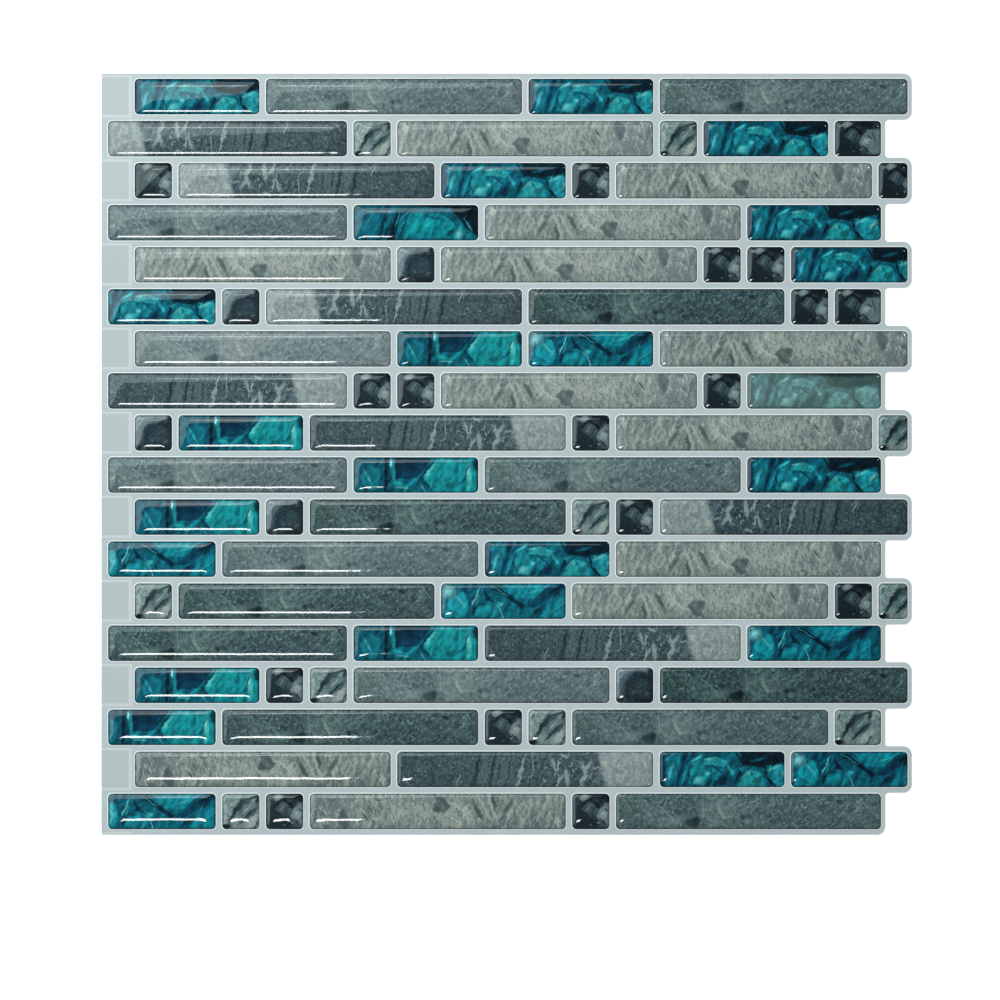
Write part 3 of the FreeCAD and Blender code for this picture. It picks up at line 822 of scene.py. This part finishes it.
# Floor, lamps and camera.
# A pale floor a hair below the sheet. One wide soft key lights the sheet from the upper left.
# The other lamps are only mirrored in the resin: a panel whose near edge runs past the top
# left corner of the sheet, an upright window below the sheet, a strip and a small lamp.
FLOOR_HALF = 8.0
FLOOR_LEVEL = -0.0001
FLOOR_SHADE = 0.9
FLOOR_GLOW = 0.35

# The floor glows a little for the camera and in mirrored rays, and lights nothing by it.
floor_finish, tree, shader = new_finish("pale_floor", 0.9, 1.3)
shader.inputs["Base Color"].default_value = (FLOOR_SHADE, FLOOR_SHADE, FLOOR_SHADE, 1)
shader.inputs["Specular IOR Level"].default_value = 0.0
rays = add(tree, "ShaderNodeLightPath").outputs
seen = rays["Is Camera Ray"]
for ray in ("Is Glossy Ray", "Is Transmission Ray"):
    seen = add(tree, "ShaderNodeMath", {0: seen, 1: rays[ray]}, operation="MAXIMUM").outputs[0]
tree.links.new(seen, shader.inputs["Emission Strength"])
shader.inputs["Emission Color"].default_value = (FLOOR_GLOW, FLOOR_GLOW, FLOOR_GLOW, 1)
floor_mesh = bpy.data.meshes.new("floor")
around = ((-1, -1), (1, -1), (1, 1), (-1, 1))
corners = [(x * FLOOR_HALF, y * FLOOR_HALF, FLOOR_LEVEL) for x, y in around]
floor_mesh.from_pydata(corners, [], [(0, 1, 2, 3)])
floor_mesh.materials.append(floor_finish)
floor = bpy.data.objects.new("floor", floor_mesh)
bpy.context.scene.collection.objects.link(floor)


def lamp(name, middle, width, depth, radiance, colour=(1, 1, 1), turn=0.0, tilt=0.0):
    """A flat lamp of a given radiance, in metres. It faces straight down until it is tilted
    up about X and turned about Z, in degrees."""
    light = bpy.data.lights.new(name, "AREA")
    light.shape = "RECTANGLE"
    light.size = width
    light.size_y = depth
    light.energy = radiance * math.pi * width * depth
    light.color = colour
    made = bpy.data.objects.new(name, light)
    bpy.context.scene.collection.objects.link(made)
    made.location = middle
    made.rotation_euler = (math.radians(tilt), 0, math.radians(turn))
    return made


key = lamp("key", (-0.45, 0.45, 1.5), width=1.2, depth=1.2, radiance=7.1)
key.visible_glossy = False

# The panel is turned by 45 degrees. Its near edge passes the middle of the sheet at
# EDGE_DISTANCE, and it is shifted along that edge by PANEL_SHIFT.
PANEL = (1.10, 0.60)
PANEL_HEIGHT = 0.489
PANEL_SHIFT = -0.20
EDGE_DISTANCE = 0.207
away = EDGE_DISTANCE + PANEL[1] / 2
panel_middle = ((PANEL_SHIFT - away) * math.sqrt(0.5), (PANEL_SHIFT + away) * math.sqrt(0.5), PANEL_HEIGHT)
panel = lamp("soft_panel", panel_middle, *PANEL, radiance=2.4, colour=(0.84, 1.0, 1.0), turn=45)
panel.visible_diffuse = False
window = lamp("window", (-0.1327, -0.240, 0.472), width=0.1345, depth=0.175, radiance=24.0, tilt=90)
window.visible_diffuse = False
strip = lamp("upper_strip", (-0.126, 0.411, 0.724), width=0.12, depth=0.06, radiance=6.5,
             colour=(1.0, 0.97, 0.82))
strip.visible_diffuse = False
corner = lamp("corner_lamp", (0.42, 0.30, 0.42), width=0.03, depth=0.03, radiance=60.0)
corner.visible_diffuse = False

world = bpy.data.worlds.new("studio")
bpy.context.scene.world = world
world.use_nodes = True
background = world.node_tree.nodes["Background"]
background.inputs["Color"].default_value = (0.95, 0.98, 1.0, 1)
background.inputs["Strength"].default_value = 0.10

# The photograph is 1000 by 1000 pixels. The sheet is 810 of them long, and its middle lies at
# pixel (506.5, 454).
FRAME = 1000
PIXEL = 0.3048 / 810
SHEET_MIDDLE = (506.5, 454.0)
HEIGHT = 2.5
SENSOR = 36.0
camera_data = bpy.data.cameras.new("camera")
camera_data.sensor_width = SENSOR
camera_data.lens = SENSOR * HEIGHT / (FRAME * PIXEL)
camera = bpy.data.objects.new("camera", camera_data)
camera.location = ((FRAME / 2 - SHEET_MIDDLE[0]) * PIXEL, (SHEET_MIDDLE[1] - FRAME / 2) * PIXEL, HEIGHT)
bpy.context.scene.collection.objects.link(camera)
bpy.context.scene.camera = camera
bpy.context.scene.view_settings.view_transform = "Standard"
